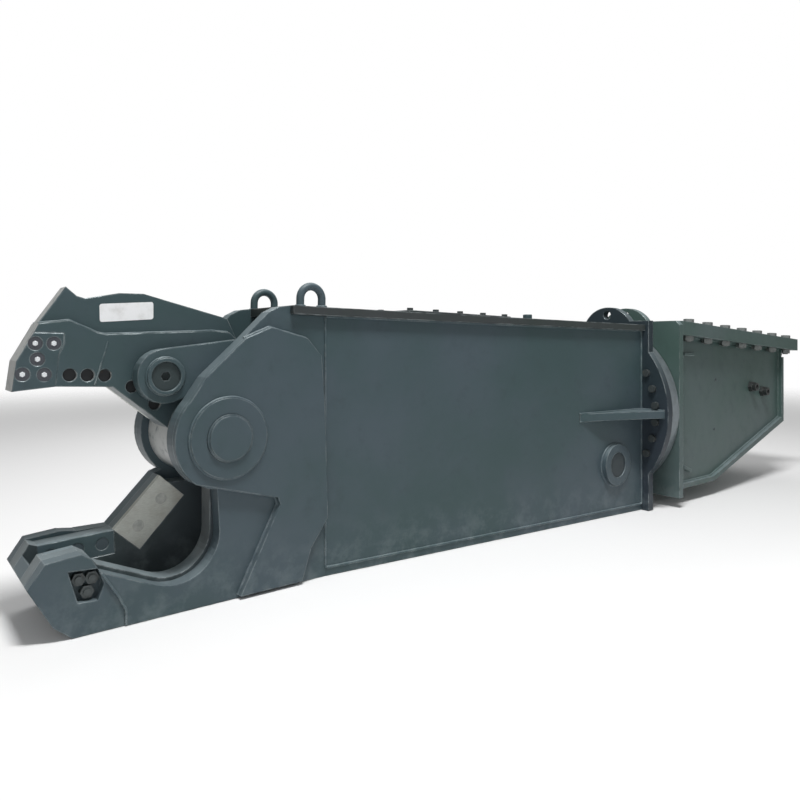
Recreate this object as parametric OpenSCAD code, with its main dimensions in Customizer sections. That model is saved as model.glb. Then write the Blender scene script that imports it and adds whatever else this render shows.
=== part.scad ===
// Demolition shear with a jaw on a pivot, a hydraulic cylinder and a slewing head.
// The jaw points to -X and the head to +X, and the near side is at -Y.
// The origin lies on the ground, under the middle of the whole machine.
// Outlines are drawn in length and height, measured from the main pivot's axis.

/* [Body] */
// Height of the body's top front corner above the pivot
top_rise = 434; // [410:1:470]
// Fall of the body's top from that corner to the end flange
top_drop = 40; // [0:5:60]
// Distance from the pivot to the end flange
body_len = 2125; // [2000:5:2400]
// Distance from the pivot to the back edge of the thick side plates
side_back = 375; // [350:5:400]
// Half of the gap between the thick side plates
side_gap = 128; // [122:1:140]
// Thickness of the thick side plates
side_t = 52; // [40:1:60]
// Thickness of the raised hub plates
hub_plate_t = 24; // [15:1:30]
// Radius of the side plates' nose around the pivot
hub_nose_r = 175; // [168:1:180]
// Half of the body's width at the end flange
rear_half = 340; // [320:5:350]
// Thickness of the rear side webs
web_t = 25; // [16:1:30]
// Thickness of the top and bottom plates
deck_t = 30; // [20:1:35]
// Overhang of the top plate past the webs
lip = 22; // [10:1:30]

/* [Main pivot] */
// Radius of the main pin
pivot_r = 70; // [60:1:75]
// Wall of the jaw's bush
bush_t = 15; // [8:1:16]
// Radius of the jaw's hub
jaw_hub_r = 150; // [140:1:152]
// Outer radius of the hub rings
hub_ring_r = 129; // [115:1:140]
// Height of the hub rings
hub_ring_h = 10; // [5:1:15]
// Radius of the pin's end caps
cap_r = 77; // [76:1:85]
// Height of the end caps
cap_h = 20; // [12:1:25]

/* [Upper jaw] */
// Distance from the pivot to the jaw's tip
jaw_reach = 590; // [560:1:595]
// Half of the jaw's thickness at its proud lower part
jaw_half = 58; // [54:0.5:58]
// Half of the jaw's thickness at its recessed back
jaw_web_half = 36; // [30:1:40]
// Distance from the pivot to the rod pin
horn_r = 290; // [285:1:300]
// Angle of the rod pin above level, at rest
horn_angle = 38; // [34:1:42]
// Radius of the rod pin
rod_pin_r = 40; // [32:1:42]
// Depth of the jaw blades
jaw_blade_w = 70; // [50:1:76]

/* [Lower jaw] */
// Distance from the pivot to the lower nose
nose_reach = 570; // [565:1:600]
// Half of the nose's width
nose_half = 176; // [165:1:178]
// Half of the slot that the upper jaw closes into
slot_half = 60; // [59:0.5:64]
// Radius of the round throat in the near arm
throat_r = 143; // [130:1:146]
// Depth of the lower blades
lower_blade_w = 75; // [60:1:80]
// Thickness of the lower blades
lower_blade_t = 22; // [16:1:28]

/* [Cylinder] */
// Distance from the end flange to the cylinder's rear pin
cyl_pin_inset = 195; // [175:5:245]
// Depth of the cylinder's rear pin below the pivot
cyl_pin_drop = 285; // [260:5:300]
// Radius of the cylinder's rear pin
cyl_pin_r = 60; // [50:1:65]
// Outer radius of the cylinder's tube
tube_r = 140; // [125:1:145]
// Wall of the cylinder's tube
tube_t = 28; // [20:1:32]
// Distance from the tube's open end to the rod pin, at rest
rod_out = 433.5; // [415:0.5:470]
// Radius of the piston rod
rod_r = 65; // [50:1:70]

/* [Slewing ring] */
// Height of the slewing axis below the main pivot
slew_drop = 45; // [30:5:60]
// Outer radius of the slewing ring
ring_r = 450; // [440:1:455]
// Edge of the end flange outside the slewing ring, down to the ground
flange_edge = 35; // [25:1:60]
// Thickness of the end flange
flange_t = 40; // [30:1:45]
// Length of the slewing ring
ring_len = 121; // [110:1:130]
// Wall of the toothed ring outside its teeth
gear_wall = 62; // [55:1:64]
// Number of teeth in the ring gear
ring_teeth = 64; // [64:4:64]
// Number of teeth on the pinion
pinion_teeth = 14; // [12:1:16]

/* [Head] */
// Length of the head behind the slewing ring
head_len = 1410; // [1300:10:1500]
// Half of the head's width
head_half = 450; // [430:5:455]
// Half of the width over the head's side plates
head_side_half = 385; // [370:5:395]
// Height of the head's front plate above the pivot
head_rise = 416; // [400:1:430]
// Height of the head's front plate above the ground
head_lift = 51; // [30:1:80]
// Fall of the head's top plate to its rear end
head_drop = 91; // [70:1:110]
// Thickness of the head's top flange
head_flange_t = 30; // [25:1:35]
// Thickness of the bolted adapter plate
adapter_t = 40; // [30:1:45]
// Pitch of the adapter bolts
adapter_pitch = 195; // [180:1:198]

/* [Hidden] */
far_end = 10000;
over = 5;
run_gap = 0.05;
fit_gap = 0.3;
bolt_sink = 1;
arc_steps = 14;
paint = [0.27, 0.33, 0.32];
dark_paint = [0.2, 0.24, 0.24];
steel = [0.66, 0.68, 0.66];
bright_steel = [0.8, 0.8, 0.78];
bronze = [0.65, 0.5, 0.3];

pivot_h = slew_drop + ring_r + flange_edge;
cyl_pin_x = body_len - cyl_pin_inset;
head_fall = pivot_h - head_lift;
ring_x = body_len + flange_t;
ring_gap = 4;
head_x = ring_x + ring_len + ring_gap;
head_end = head_x + head_len;
pivot_x = (jaw_reach - head_end) / 2;
side_out = side_gap + side_t;
hub_out = side_out + hub_plate_t;
flare = atan((rear_half - side_out) / (body_len - side_back));
corner_x = 235;
slope = atan(top_drop / (body_len - corner_x));
slew_z = -slew_drop;
flange_r = ring_r + flange_edge;

// Height of the body's top face above the pivot, and half of the body's width
function top_at(x) = top_rise - max(x - corner_x, 0) * tan(slope);
function half_at(x) = side_out + max(x - side_back, 0) * tan(flare);
// Points on an arc, a table of shares in real sizes, and a place beside a line
function arc(c, r, a0, a1) = [for (i = [0:arc_steps])
    let (a = a0 + (a1 - a0) * i / arc_steps) [c[0] + r * cos(a), c[1] + r * sin(a)]];
function by(shares, sx, sz) = [for (s = shares) [s[0] * sx, s[1] * sz]];
function beside(p, q, along, left) = let (d = (q - p) / norm(q - p))
    p + along * d + left * [-d[1], d[0]];
// Corners of a blade whose edge runs from p to q, its pocket cut past that edge, and its bolts' places
function blade(p, q, w, past = 0) = [beside(p, q, 0, -past), beside(p, q, norm(q - p), -past),
    beside(p, q, norm(q - p), w), beside(p, q, 0, w)];
function blade_holes(p, q, w, n) = [for (i = [1:n]) beside(p, q, norm(q - p) * (i - 0.5) / n, w / 2)];
// Outline of two circles and the straight sides that touch both
function link(p, pr, q, qr) = let (d = norm(q - p), turn = atan2(q[1] - p[1], q[0] - p[0]),
    open = acos((pr - qr) / d))
    concat(arc(p, pr, turn + open, turn + 360 - open), arc(q, qr, turn - open, turn + open));

module on_pivot() translate([pivot_x, 0, pivot_h]) children();
module plate(y0, y1) translate([0, y1, 0]) rotate([90, 0, 0]) linear_extrude(y1 - y0) children();
module bar(p, r, y0, y1) translate([p[0], y1, p[1]]) rotate([90, 0, 0]) cylinder(h = y1 - y0, r = r, $fn = 72);
module hex_bar(p, r, y0, y1) translate([p[0], y1, p[1]]) rotate([90, 0, 0]) cylinder(h = y1 - y0, r = r, $fn = 6);
module along_x(x0, t) translate([x0, 0, 0]) rotate([90, 0, 90]) linear_extrude(t) children();
module long_bar(x, y, z, r, h) translate([x, y, z]) rotate([0, 90, 0]) cylinder(h = h, r = r, $fn = 96);
module both_sides() {
    children();
    mirror([0, 1, 0]) children();
}

// Thick side plates, from the hub down to the lower jaw's seam
crown_shares = [[0.507, 0.986], [0.405, 0.942], [0.16, 0.737], [-0.2, 0.45]];
seam_shares = [[-0.668, -0.677], [-0.584, -0.826], [-0.546, -0.911], [-0.546, -1]];
nose_arc = arc([0, 0], hub_nose_r, 136, 232);
throat_share = [-0.28947368, -0.56603774];
throat_c = [throat_share[0] * nose_reach, throat_share[1] * pivot_h];
throat_end = -112;
throat_top_shares = [[-0.105, -0.302], [-0.053, -0.311]];
vee_shares = [[-0.49473684, -0.57547170], [-0.88596491, -0.59622642], [-0.23333333, -0.27547170]];
vee_pts = by(vee_shares, nose_reach, pivot_h);
vee = vee_pts[0];
vee_front = vee_pts[1];
vee_rear = vee_pts[2];
seam = by(seam_shares, nose_reach, pivot_h);
crown = concat([[side_back, top_at(side_back) - deck_t], [corner_x, top_rise - deck_t], [corner_x, top_rise]],
    by(crown_shares, side_back, top_rise));
near_throat = concat(by(throat_top_shares, nose_reach, pivot_h), arc(throat_c, throat_r, 0, throat_end));
far_throat = [vee_rear, vee, [seam[0][0], vee[1]]];

module side_plate(y0, y1, throat) plate(y0, y1) difference() {
    polygon(concat(crown, nose_arc, throat, seam, [[side_back, -pivot_h]]));
    circle(r = pivot_r, $fn = 96);
}
module near_side_plate() color(paint) on_pivot() side_plate(-side_out, -side_gap, near_throat);
module far_side_plate() color(paint) on_pivot() side_plate(side_gap, side_out, far_throat);

// Raised hub plates, with a leg that runs down to the ground edge
hub_top_shares = [[0.16, 0.737], [-0.2, 0.45]];
hub_back_shares = [[0.955, 0.23], [0.923, 0.594], [0.771, 0.74], [0.4, 0.823]];
hub_leg_shares = [[-0.181, -0.279], [0.467, -0.409], [0.488, -0.455], [0.107, -0.98], [0.715, -0.98],
    [0.808, -0.777], [0.992, -0.594]];
module hub_plate() plate(-hub_out, -side_out) difference() {
    polygon(concat(by(hub_top_shares, side_back, top_rise), nose_arc, by(hub_leg_shares, side_back, pivot_h),
        by(hub_back_shares, side_back, top_rise)));
    circle(r = pivot_r, $fn = 96);
}
module near_hub_plate() color(paint) on_pivot() hub_plate();
module far_hub_plate() color(paint) on_pivot() mirror([0, 1, 0]) hub_plate();

module hub_rings() color(paint) on_pivot() both_sides() difference() {
    bar([0, 0], hub_ring_r, -hub_out - hub_ring_h, -hub_out);
    bar([0, 0], cap_r + fit_gap, -hub_out - hub_ring_h - over, -hub_out + over);
}

// Rear side webs, which spread towards the end flange
boss_r = 100;
boss_stand = 18;
boss_depth = 40;
web_run = (body_len - side_back) / cos(flare);
cyl_pin = [cyl_pin_x, -cyl_pin_drop];
module web() difference() {
    translate([side_back, -side_out, 0]) rotate([0, 0, -flare]) plate(0, web_t) polygon([
        [0, deck_t - pivot_h],
        [web_run + web_t, deck_t - pivot_h],
        [web_run + web_t, top_rise],
        [0, top_rise],
    ]);
    on_deck() translate([0, -far_end / 2, -deck_t - run_gap]) cube(far_end);
    translate([body_len, -far_end / 2, -far_end / 2]) cube(far_end);
    bar(cyl_pin, boss_r, -rear_half - over, -side_out);
}
module near_web() color(paint) on_pivot() web();
module far_web() color(paint) on_pivot() mirror([0, 1, 0]) web();

// Top and bottom plates
hatch_x_share = 0.4;
hatch_len = 520;
hatch_w = 160;
cover_edge = 40;
cover_t = 16;
cover_bolt_r = 8;
cover_bolts_long = 5;
hatch_x = hatch_x_share * body_len;
module on_deck() translate([corner_x, 0, top_rise]) rotate([0, slope, 0]) translate([-corner_x, 0, 0]) children();
module at_cover_bolts() for (i = [0:cover_bolts_long - 1], side = [-1, 1])
    translate([hatch_x - cover_edge / 2 + (hatch_len + cover_edge) * i / (cover_bolts_long - 1),
        side * (hatch_w + cover_edge) / 2, 0]) children();
module top_plate() color(paint) on_pivot() difference() {
    intersection() {
        translate([0, 0, -pivot_h]) linear_extrude(far_end) polygon([
            [corner_x, -side_out - lip], [side_back, -side_out - lip], [body_len, -rear_half - lip],
            [body_len, rear_half + lip], [side_back, side_out + lip], [corner_x, side_out + lip],
        ]);
        plate(-far_end, far_end) polygon([
            [corner_x, top_rise], [corner_x, top_rise - deck_t],
            [body_len, top_at(body_len) - deck_t], [body_len, top_at(body_len)],
        ]);
    }
    on_deck() translate([hatch_x, -hatch_w / 2, -2 * deck_t]) cube([hatch_len, hatch_w, far_end]);
    on_deck() at_cover_bolts() translate([0, 0, -deck_t * 2])
        cylinder(h = far_end, r = cover_bolt_r + fit_gap, $fn = 32);
}
module access_cover() color(paint) on_pivot() on_deck() difference() {
    translate([hatch_x - cover_edge, -hatch_w / 2 - cover_edge, 0])
        cube([hatch_len + 2 * cover_edge, hatch_w + 2 * cover_edge, cover_t]);
    at_cover_bolts() translate([0, 0, -over]) cylinder(h = cover_t + 2 * over, r = cover_bolt_r + fit_gap, $fn = 32);
}
module access_cover_bolts() color(steel) on_pivot() on_deck() at_cover_bolts() union() {
    translate([0, 0, cover_t]) cylinder(h = cover_bolt_r * 1.25, r = cover_bolt_r * 1.7, $fn = 6);
    translate([0, 0, -deck_t / 2]) cylinder(h = cover_t + deck_t / 2 + over, r = cover_bolt_r, $fn = 32);
}
bulkhead_x = 60;
bulkhead_t = 40;
bulkhead_top_share = -0.325;
module bottom_plate() color(paint) on_pivot() translate([0, 0, -pivot_h]) linear_extrude(deck_t) polygon([
    [bulkhead_x + bulkhead_t, -side_gap], [side_back, -side_gap], [side_back, -side_out],
    [body_len, -rear_half], [body_len, rear_half], [side_back, side_out], [side_back, side_gap],
    [bulkhead_x + bulkhead_t, side_gap],
]);
module throat_bulkhead() color(dark_paint) on_pivot() translate([bulkhead_x, -side_gap, -pivot_h])
    cube([bulkhead_t, 2 * side_gap, pivot_h * (1 + bulkhead_top_share)]);

// End flange: a round plate with square shoulders, and a lug on its flat top
flange_shoulder = 40;
flange_top = 415;
lug_y = -140;
lug_r = 155;
lug_rise = 74;
lug_hole_r = 22;
lug_hole_rise = 34;
swivel_r = 110;
swivel_bore_r = 60;
ring_bolts = 32;
ring_bolt_r = 12;
ring_bolt_inset = 28;
race_inset = 56;
tooth_root_share = 1.2;
tooth_tip_share = 0.9;
ring_bolt_circle = ring_r - ring_bolt_inset;
race_r = ring_r - race_inset;
gear_module = (race_r - gear_wall) / (ring_teeth / 2 + tooth_root_share);
pinion_z = slew_z + (ring_teeth - pinion_teeth) * gear_module / 2;
pinion_tip_r = (pinion_teeth / 2 + tooth_tip_share) * gear_module;
pinion_root_r = (pinion_teeth / 2 - tooth_root_share) * gear_module;
pinion_hole_r = pinion_tip_r + 2 * over;
ring_bolt_head = 1.5 * ring_bolt_r;
bolt_room = ring_bolt_head + over;
// Bolts are left out where their heads would meet a web or the top plate
function bolt_clear(y, z) = abs(y) > rear_half + bolt_room
    || (abs(y) < rear_half - web_t - bolt_room && z < top_at(body_len) - deck_t - bolt_room);
module lug_outline(top) difference() {
    intersection() {
        translate([lug_y, top + lug_rise - lug_r]) circle(r = lug_r, $fn = 96);
        translate([lug_y - lug_r, top]) square(2 * lug_r);
    }
    translate([lug_y, top + lug_hole_rise]) circle(r = lug_hole_r, $fn = 64);
}
module end_flange() color(paint) on_pivot() difference() {
    along_x(body_len, flange_t) {
        difference() {
            union() {
                translate([-rear_half - flange_shoulder, -pivot_h])
                    square([2 * (rear_half + flange_shoulder), pivot_h + flange_top]);
                intersection() {
                    translate([0, slew_z]) circle(r = flange_r, $fn = 180);
                    translate([-far_end / 2, -pivot_h]) square([far_end, pivot_h + flange_top]);
                }
            }
            translate([0, slew_z]) circle(r = swivel_r, $fn = 96);
            translate([0, pinion_z]) circle(r = pinion_hole_r, $fn = 96);
        }
        lug_outline(flange_top);
    }
    at_ring_bolts() long_bar(body_len - over, 0, 0, ring_bolt_r + fit_gap, flange_t + 2 * over);
}
module at_ring_bolts() for (i = [0:ring_bolts - 1])
    let (a = 360 * (i + 0.5) / ring_bolts, y = ring_bolt_circle * sin(a), z = slew_z + ring_bolt_circle * cos(a))
        if (bolt_clear(y, z)) translate([0, y, z]) children();

gusset_start = 445;
gusset_out = 128;
gusset_t = 36;
gusset_z = slew_z - gusset_t / 2;
module flange_gussets() color(paint) on_pivot() both_sides() translate([0, 0, gusset_z])
    linear_extrude(gusset_t) polygon([
    [body_len - gusset_start, -half_at(body_len - gusset_start)],
    [body_len, -rear_half - gusset_out], [body_len, -rear_half],
]);

eye_x = 316;
eye_rod_r = 14;
eye_r = 43.5;
eye_leg = 27.5;
module lifting_eyes() color(paint) on_pivot() both_sides() on_deck() translate([eye_x, -side_out, 0]) union() {
    for (side = [-1, 1]) translate([side * eye_r, 0, 0]) cylinder(h = eye_leg, r = eye_rod_r, $fn = 48);
    translate([0, 0, eye_leg]) rotate([90, 0, 0]) rotate_extrude(angle = 180, $fn = 96)
        translate([eye_r, 0]) circle(r = eye_rod_r, $fn = 48);
}

// Lower jaw: nose plates outside, thick cheeks beside the slot, and the block across the front
nose_top_shares = [[-0.888, -0.921], [-1, -0.702], [-0.925, -0.579], [-0.761, -0.562]];
near_lip_share = [-0.711, -0.596];
nose_base_share = -0.8;
pocket_shares = [[-0.821, -0.643], [-0.682, -0.653], [-0.653, -0.742], [-0.682, -0.826], [-0.775, -0.819]];
pocket_nut_shares = [[-0.768, -0.7], [-0.705, -0.702], [-0.728, -0.775]];
pocket_d = 30;
nut_r = 20;
nut_h = 18;
cheek_step = 12;
tip_sweep_r = 640;
block_back_share = -0.702;
nose_base = [nose_base_share * nose_reach, -pivot_h];
nose_top = by(nose_top_shares, nose_reach, pivot_h);
near_lip = by([near_lip_share], nose_reach, pivot_h);
module near_nose_plate() color(paint) on_pivot() difference() {
    plate(-nose_half, -side_gap) polygon(concat([nose_base], nose_top, near_lip, seam));
    plate(-far_end, pocket_d - nose_half) polygon(by(pocket_shares, nose_reach, pivot_h));
}
module far_nose_plate() color(paint) on_pivot() plate(side_gap, nose_half)
    polygon(concat([nose_base], nose_top, [[seam[0][0], vee[1]]], seam));
module pocket_nuts() color(steel) on_pivot() for (p = by(pocket_nut_shares, nose_reach, pivot_h)) union() {
    hex_bar(p, nut_r, pocket_d - nose_half - nut_h, pocket_d - nose_half);
    bar(p, nut_r / 2, pocket_d - nose_half - nut_h - over, pocket_d - nose_half - nut_h + over);
}
bulkhead_top = bulkhead_top_share * pivot_h;
near_cheek_top = concat([[bulkhead_x, -pivot_h], [bulkhead_x, bulkhead_top]],
    [[throat_c[0] + throat_r - cheek_step, bulkhead_top]],
    arc(throat_c, throat_r - cheek_step, 0, throat_end), [seam[0] + [0, cheek_step]]);
far_cheek_top = [[bulkhead_x, -pivot_h], [bulkhead_x, bulkhead_top],
    vee_rear + [cheek_step * 2, bulkhead_top - vee_rear[1]], vee_rear, vee, vee_front];
front_blade = blade(vee_front, vee, -lower_blade_w);
rear_blade = blade(vee, vee_rear, -1.5 * lower_blade_w);
front_holes = blade_holes(vee_front, vee, -lower_blade_w, 3);
rear_holes = blade_holes(vee, vee_rear, -1.5 * lower_blade_w, 2);
guide_shares = [[-0.75, -0.7], [-0.75, -0.5], [-0.9, -0.5], [-0.9, -0.7]];
guide_hole_shares = [[-0.864, -0.64], [-0.786, -0.64]];
guide_holes = by(guide_hole_shares, nose_reach, pivot_h);
blade_bolt_r = 12;
blade_head_r = 19;
blade_head_h = 10;
blade_bolt_len = 60;
blade_face = slot_half + lower_blade_t;
module guide_outline() intersection() {
    polygon(by(guide_shares, nose_reach, pivot_h));
    polygon(concat([nose_base], nose_top, near_lip, seam));
}
module lower_bolt(p, start, r) bar(p, r, start, slot_half + blade_bolt_len);
module near_jaw_cheek() color(dark_paint) on_pivot() difference() {
    plate(-side_gap, -slot_half) polygon(concat(near_cheek_top, near_lip,
        [nose_top[3], nose_top[2], nose_top[1], nose_top[0], nose_base]));
    plate(-blade_face, far_end) guide_outline();
    mirror([0, 1, 0]) for (p = guide_holes) lower_bolt(p, 0, blade_bolt_r + fit_gap);
}
module far_jaw_cheek() color(dark_paint) on_pivot() difference() {
    plate(slot_half, side_gap) polygon(concat(far_cheek_top, [nose_top[2], nose_top[1], nose_top[0]], [nose_base]));
    plate(-far_end, blade_face) polygon(front_blade);
    plate(-far_end, blade_face) polygon(rear_blade);
    for (p = concat(front_holes, rear_holes)) lower_bolt(p, 0, blade_bolt_r + fit_gap);
}
module nose_block() color(paint) on_pivot() plate(-slot_half, slot_half) difference() {
    polygon([nose_base, nose_top[0], nose_top[1], nose_top[2], [block_back_share * nose_reach, nose_top[2][1]],
        [block_back_share * nose_reach, -pivot_h]]);
    circle(r = tip_sweep_r, $fn = 180);
}
module lower_blade(outline, holes) difference() {
    plate(slot_half, blade_face) polygon(outline);
    for (p = holes) {
        lower_bolt(p, 0, blade_bolt_r + fit_gap);
        bar(p, blade_head_r + fit_gap, 0, slot_half + blade_head_h);
    }
}
module lower_front_blade() color(steel) on_pivot() lower_blade(front_blade, front_holes);
module lower_rear_blade() color(steel) on_pivot() lower_blade(rear_blade, rear_holes);
module guide_blade() color(steel) on_pivot() mirror([0, 1, 0]) difference() {
    plate(slot_half, blade_face) guide_outline();
    for (p = guide_holes) {
        lower_bolt(p, 0, blade_bolt_r + fit_gap);
        bar(p, blade_head_r + fit_gap, 0, slot_half + blade_head_h);
    }
}
module lower_blade_bolt(p) union() {
    bar(p, blade_bolt_r, slot_half + bolt_sink, slot_half + blade_bolt_len);
    bar(p, blade_head_r, slot_half + bolt_sink, slot_half + blade_head_h);
}
module lower_blade_bolts() color(dark_paint) on_pivot() {
    for (p = concat(front_holes, rear_holes)) lower_blade_bolt(p);
    mirror([0, 1, 0]) for (p = guide_holes) lower_blade_bolt(p);
}

// Main pivot
module pivot_pin() color(bright_steel) on_pivot() bar([0, 0], pivot_r, -hub_out, hub_out);
cap_step = 6;
module pivot_caps() color(paint) on_pivot() both_sides() union() {
    bar([0, 0], cap_r, -hub_out - cap_h + cap_step, -hub_out);
    bar([0, 0], cap_r - cap_step, -hub_out - cap_h, -hub_out - cap_h + 2 * cap_step);
}

// Guide arms, which hold the pucks that steady the upper jaw
puck_c = [-178, 200];
puck_r = 46;
puck_gap = 0.4;
arm_r = 86;
arm_root = [70, 258];
arm_root_r = 58;
arm_face = 78;
arm_ring_r = 58;
arm_ring_h = 12;
hub_clear = 6;
module guide_arm() difference() {
    union() {
        plate(-side_gap, -arm_face) difference() {
            polygon(link(puck_c, arm_r, arm_root, arm_root_r));
            circle(r = jaw_hub_r + hub_clear, $fn = 96);
        }
        bar(puck_c, arm_ring_r, -side_gap - arm_ring_h, -arm_face - over);
    }
    bar(puck_c, puck_r, -far_end, 0);
}
module near_guide_arm() color(paint) on_pivot() guide_arm();
module far_guide_arm() color(paint) on_pivot() mirror([0, 1, 0]) guide_arm();
module guide_pucks() color(bronze) on_pivot() both_sides() difference() {
    bar(puck_c, puck_r, -side_gap - arm_ring_h / 3, -jaw_half - puck_gap);
    hex_bar(puck_c, puck_r / 3, -far_end, -side_gap + arm_ring_h);
}

// Cylinder pin across the rear of the body
eye_half = 70;
boss_inner_r = 85;
boss_gap = 1;
pin_out = half_at(cyl_pin_x) + boss_stand;
module cylinder_bosses() color(paint) on_pivot() both_sides() difference() {
    union() {
        bar(cyl_pin, boss_r, -pin_out, boss_depth + web_t - pin_out);
        bar(cyl_pin, boss_inner_r, -pin_out + over, -eye_half - boss_gap);
    }
    bar(cyl_pin, cyl_pin_r, -far_end, far_end);
}
module cylinder_pin() color(bright_steel) on_pivot() bar(cyl_pin, cyl_pin_r, over - pin_out, pin_out - over);

// Slewing ring: outer ring on the body, toothed inner ring on the head, balls between them
race_gap = 0.6;
ball_r = 16;
balls = 36;
ball_x = ring_x + ring_len / 2 + ring_gap / 2;
module groove() translate([ball_x, 0, slew_z]) rotate([0, 90, 0]) rotate_extrude($fn = 180)
    translate([race_r + race_gap / 2, 0]) circle(r = ball_r + fit_gap, $fn = 48);
module slew_outer_ring() color(steel) on_pivot() difference() {
    along_x(ring_x, ring_len) translate([0, slew_z]) difference() {
        circle(r = ring_r, $fn = 180);
        circle(r = race_r + race_gap, $fn = 180);
    }
    groove();
    at_ring_bolts() long_bar(ring_x - over, 0, 0, ring_bolt_r + fit_gap, ring_len / 2);
}
module slew_ring_bolts() color(steel) on_pivot() at_ring_bolts() union() {
    long_bar(body_len - ring_bolt_r * 1.25, 0, 0, ring_bolt_head, ring_bolt_r * 1.25);
    long_bar(body_len - over, 0, 0, ring_bolt_r, flange_t + ring_len / 3);
}
ring_root_r = (ring_teeth / 2 + tooth_root_share) * gear_module;
ring_tip_r = (ring_teeth / 2 - tooth_tip_share) * gear_module;
tooth_tip = 0.24 * gear_module;
tooth_root = 0.86 * gear_module;
function teeth(n, r_tip, r_root) = [for (i = [0:n - 1], s = [[r_root, -tooth_root], [r_tip, -tooth_tip],
    [r_tip, tooth_tip], [r_root, tooth_root]])
    let (a = 360 * i / n + s[1] / s[0] * 180 / PI) [s[0] * cos(a), s[0] * sin(a)]];
module slew_inner_ring() color(bright_steel) on_pivot() difference() {
    along_x(ring_x + ring_gap, ring_len) translate([0, slew_z]) difference() {
        circle(r = race_r, $fn = 180);
        rotate(180 / ring_teeth) polygon(teeth(ring_teeth, ring_tip_r, ring_root_r));
    }
    groove();
}
module slew_balls() color(bright_steel) on_pivot() for (i = [0:balls - 1])
    translate([ball_x, 0, slew_z]) rotate([360 * (i + 0.5) / balls, 0, 0])
        translate([0, 0, race_r + race_gap / 2]) sphere(r = ball_r, $fn = 32);

// Slewing drive: a motor on the end flange turns a pinion inside the ring gear
motor_r = 80;
motor_len = 190;
motor_foot_r = 112;
motor_foot_t = 25;
shaft_r = 34;
shaft_end = 80;
pinion_start = 10;
pinion_len = 100;
module slew_motor() color(dark_paint) on_pivot() difference() {
    union() {
        long_bar(body_len - motor_foot_t, 0, pinion_z, motor_foot_r, motor_foot_t);
        long_bar(body_len - motor_len, 0, pinion_z, motor_r, motor_len - over);
    }
    long_bar(body_len - shaft_end - over, 0, pinion_z, shaft_r + run_gap, far_end);
}
module slew_pinion() color(bright_steel) on_pivot() {
    long_bar(body_len - shaft_end, 0, pinion_z, shaft_r, shaft_end + flange_t + pinion_start + over);
    along_x(ring_x + pinion_start, pinion_len) translate([0, pinion_z]) rotate(90)
        polygon(teeth(pinion_teeth, pinion_tip_r, pinion_root_r));
}
swivel_front = 60;
swivel_back = 80;
spool_back = 40;
module swivel_barrel() color(steel) on_pivot() difference() {
    long_bar(body_len - swivel_front, 0, slew_z, swivel_r, swivel_front + flange_t + swivel_back);
    long_bar(body_len - far_end, 0, slew_z, swivel_bore_r + run_gap, 2 * far_end);
}
module swivel_spool() color(bright_steel) on_pivot() {
    long_bar(body_len - swivel_front, 0, slew_z, swivel_bore_r, head_x - body_len + swivel_front + spool_back);
    long_bar(head_x, 0, slew_z, swivel_r, head_plate_t);
}

// Upper jaw: a web with a hub, thicker sides below its ledge, and bolted tip plates and blades
web_shares = [[-1, 0.28], [-0.808, 0.298], [-0.536, 0.286], [-0.232, 0.036], [-0.17, -0.07], [0.127, 0.186],
    [0.186, 0.508], [0.114, 0.658], [-0.368, 0.783], [-0.495, 0.781], [-0.664, 0.747], [-0.703, 0.758],
    [-0.754, 0.803], [-0.881, 0.615], [-0.981, 0.427]];
side_shares = [[-0.808, 0.298], [-0.536, 0.286], [-0.232, 0.036], [-0.17, -0.07], [0.127, 0.186], [0.186, 0.508],
    [0.114, 0.576], [0.022, 0.585], [-0.568, 0.561], [-0.608, 0.569], [-0.742, 0.631], [-0.882, 0.613],
    [-0.905, 0.568], [-0.769, 0.566], [-0.769, 0.514], [-0.792, 0.459]];
tip_shares = [[-1, 0.28], [-0.808, 0.298], [-0.792, 0.459], [-0.769, 0.514], [-0.769, 0.566], [-0.905, 0.568],
    [-0.981, 0.427]];
tip_bolt_shares = [[-0.898, 0.514], [-0.815, 0.514], [-0.888, 0.436], [-0.954, 0.363], [-0.858, 0.359]];
tip_bolt_r = 13;
tip_head_r = 19;
tip_head_h = 10;
jaw_side_gap = 0.5;
jaw_blade_inset = 12;
jaw_pts = by(web_shares, jaw_reach, jaw_reach);
tip_holes = by(tip_bolt_shares, jaw_reach, jaw_reach);
horn = horn_r * [cos(horn_angle), sin(horn_angle)];
horn_end_r = 72;
horn_inner = 42;
horn_outer = 72;
horn_root_share = 0.93;
horn_outline = link([0, 0], horn_root_share * jaw_hub_r, horn, horn_end_r);
rear_blade_len_share = 0.78;
jaw_knee = jaw_pts[2];
jaw_front_start = beside(jaw_pts[1], jaw_knee, jaw_blade_inset, 0);
jaw_front = blade(jaw_front_start, jaw_knee, jaw_blade_w);
jaw_rear_end = beside(jaw_knee, jaw_pts[3], rear_blade_len_share * norm(jaw_pts[3] - jaw_knee), 0);
jaw_rear = blade(jaw_knee, jaw_rear_end, jaw_blade_w);
jaw_front_holes = blade_holes(jaw_front_start, jaw_knee, jaw_blade_w, 3);
jaw_rear_holes = blade_holes(jaw_knee, jaw_rear_end, jaw_blade_w, 2);
jaw_holes = concat(jaw_front_holes, jaw_rear_holes);
module jaw_cuts() for (p = jaw_holes) {
    bar(p, blade_bolt_r + fit_gap, -far_end, far_end);
    bar(p, blade_head_r + fit_gap, -far_end, 2 * blade_head_h - jaw_half);
}
module upper_jaw() color(paint) on_pivot() difference() {
    union() {
        plate(-jaw_web_half, jaw_web_half) polygon(jaw_pts);
        bar([0, 0], jaw_hub_r, jaw_side_gap - side_gap, side_gap - jaw_side_gap);
    }
    bar([0, 0], pivot_r + bush_t, -far_end, far_end);
    for (p = tip_holes) bar(p, tip_bolt_r + fit_gap, -far_end, far_end);
    for (p = jaw_holes) bar(p, blade_bolt_r + fit_gap, -far_end, far_end);
}
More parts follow.
